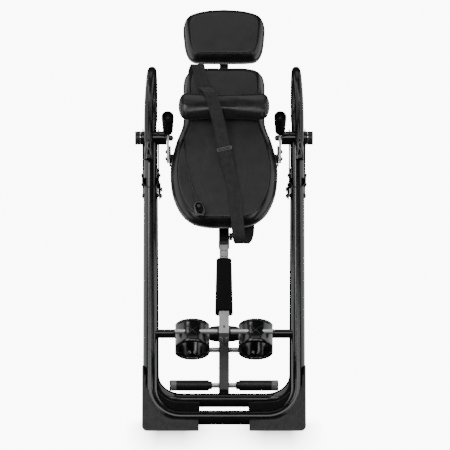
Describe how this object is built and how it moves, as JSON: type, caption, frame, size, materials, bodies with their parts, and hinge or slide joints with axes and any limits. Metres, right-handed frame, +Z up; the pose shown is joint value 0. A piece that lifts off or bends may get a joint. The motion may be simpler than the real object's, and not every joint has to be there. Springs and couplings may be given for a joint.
{
  "type": "inversion table",
  "caption": "Folding inversion table: black tubular A-frame, pivoting padded bed with headrest, lumbar roll, tether strap, hand loops, sliding ankle holder and footrest.",
  "frame": {"origin": "on the floor, under the centre of the table's bounding box, with the frame open and the bed at rest on its crossbar bumper", "axes": "+Z up, -Y the way the user faces, +X towards the viewer's right when the front is seen"},
  "size_m": [0.712, 1.2941, 1.6603],
  "materials": {
    "gloss_paint": "gloss powder coat",
    "satin_paint": "satin powder coat",
    "grey_paint": "satin dark grey",
    "silver_steel": "satin silver",
    "black_plastic": "fine satin",
    "cup_plastic": "gloss",
    "grey_plastic": "satin",
    "rubber": "ribbed satin",
    "foam": "soft matt foam",
    "leatherette": "grained, soft sheen",
    "webbing": "woven nylon",
    "cord": "smooth"
  },
  "bodies": {
    "front_frame": {"front_u_tube": "gloss_paint", "front_crossbar": "gloss_paint", "crossbar_bumper": "rubber", "front_shoe_left": "rubber", "front_shoe_right": "rubber", "upper_leg_tube_left": "gloss_paint", "upper_leg_tube_right": "gloss_paint", "leg_joint_saddle_left": "gloss_paint", "leg_joint_saddle_right": "gloss_paint", "hub_housing_left": "gloss_paint", "hub_housing_right": "gloss_paint", "hand_loop_left": "gloss_paint", "hand_loop_right": "gloss_paint", "hand_loop_sleeve_left": "foam", "hand_loop_sleeve_right": "foam", "brace_bolt_left": "satin_paint", "brace_bolt_right": "satin_paint"},
    "rear_frame": {"rear_u_tube": "gloss_paint", "rear_shoe_left": "rubber", "rear_shoe_right": "rubber", "rear_hinge_bracket_left": "gloss_paint", "rear_hinge_bracket_right": "gloss_paint"},
    "fold_struts": {"fold_strut_left": "gloss_paint", "fold_strut_right": "gloss_paint"},
    "bed": {"pivot_shaft_left": "silver_steel", "pivot_shaft_right": "silver_steel", "hub_end_cap_left": "black_plastic", "hub_end_cap_right": "black_plastic", "pivot_arm_left": "silver_steel", "pivot_arm_right": "silver_steel", "bed_grip_left": "foam", "bed_grip_right": "foam", "bed_cross_member": "satin_paint", "bed_spine": "gloss_paint", "receiver_bushing": "grey_paint", "backrest_pan": "satin_paint", "backrest_cushion": "leatherette", "lumbar_pillow": "leatherette", "tether_strap": "webbing", "strap_buckle": "silver_steel", "controller_cord": "cord", "controller_handset": "black_plastic", "pull_pin_housing": "black_plastic"},
    "headrest": {"headrest_post": "satin_paint", "headrest_cushion": "leatherette"},
    "boom": {"boom_tube": "silver_steel", "foot_post": "grey_paint", "rear_ankle_tube": "silver_steel", "rear_ankle_cup_left": "cup_plastic", "rear_ankle_cup_right": "cup_plastic", "footrest_bar": "silver_steel", "footrest_grip_left": "rubber", "footrest_grip_right": "rubber"},
    "ankle_carriage": {"lever_bar": "silver_steel", "lever_grip": "foam", "front_ankle_tube": "silver_steel", "front_ankle_cup_left": "cup_plastic", "front_ankle_cup_right": "cup_plastic"},
    "pull_pin": {"pull_pin": "silver_steel"},
    "handset_button": {"handset_button": "grey_plastic"}
  },
  "joints": [
    {"name": "frame_fold", "type": "hinge", "parent": "front_frame", "child": "rear_frame", "pos_m": [0, -0.075, 1.141], "axis": [-1, 0, 0], "range_deg": [0, 30]},
    {"name": "strut_swing", "type": "hinge", "parent": "front_frame", "child": "fold_struts", "pos_m": [0, -0.16439, 0.91289], "axis": [-1, 0, 0], "range_deg": [0, 15]},
    {"name": "main_pivot", "type": "hinge", "parent": "front_frame", "child": "bed", "pos_m": [0, -0.075, 1.141], "axis": [-1, 0, 0], "range_deg": [0, 150]},
    {"name": "headrest_height", "type": "slide", "parent": "bed", "child": "headrest", "axis": [0, 0.5, 0.866], "range_m": [-0.02, 0.06]},
    {"name": "boom_height", "type": "slide", "parent": "bed", "child": "boom", "axis": [0, -0.5, -0.866], "range_m": [-0.015, 0.12]},
    {"name": "ankle_close", "type": "slide", "parent": "boom", "child": "ankle_carriage", "axis": [0, -0.866, 0.5], "range_m": [-0.045, 0.045]},
    {"name": "pin_pull", "type": "slide", "parent": "bed", "child": "pull_pin", "axis": [1, 0, 0], "range_m": [0, 0.01], "stiffness_N_per_m": 400},
    {"name": "button_press", "type": "slide", "parent": "bed", "child": "handset_button", "axis": [0, 0.866, -0.5], "range_m": [0, 0.0015], "stiffness_N_per_m": 300}
  ],
  "couplings": [
    {"joint": "strut_swing", "follows": "frame_fold", "ratio": 0.5}
  ]
}
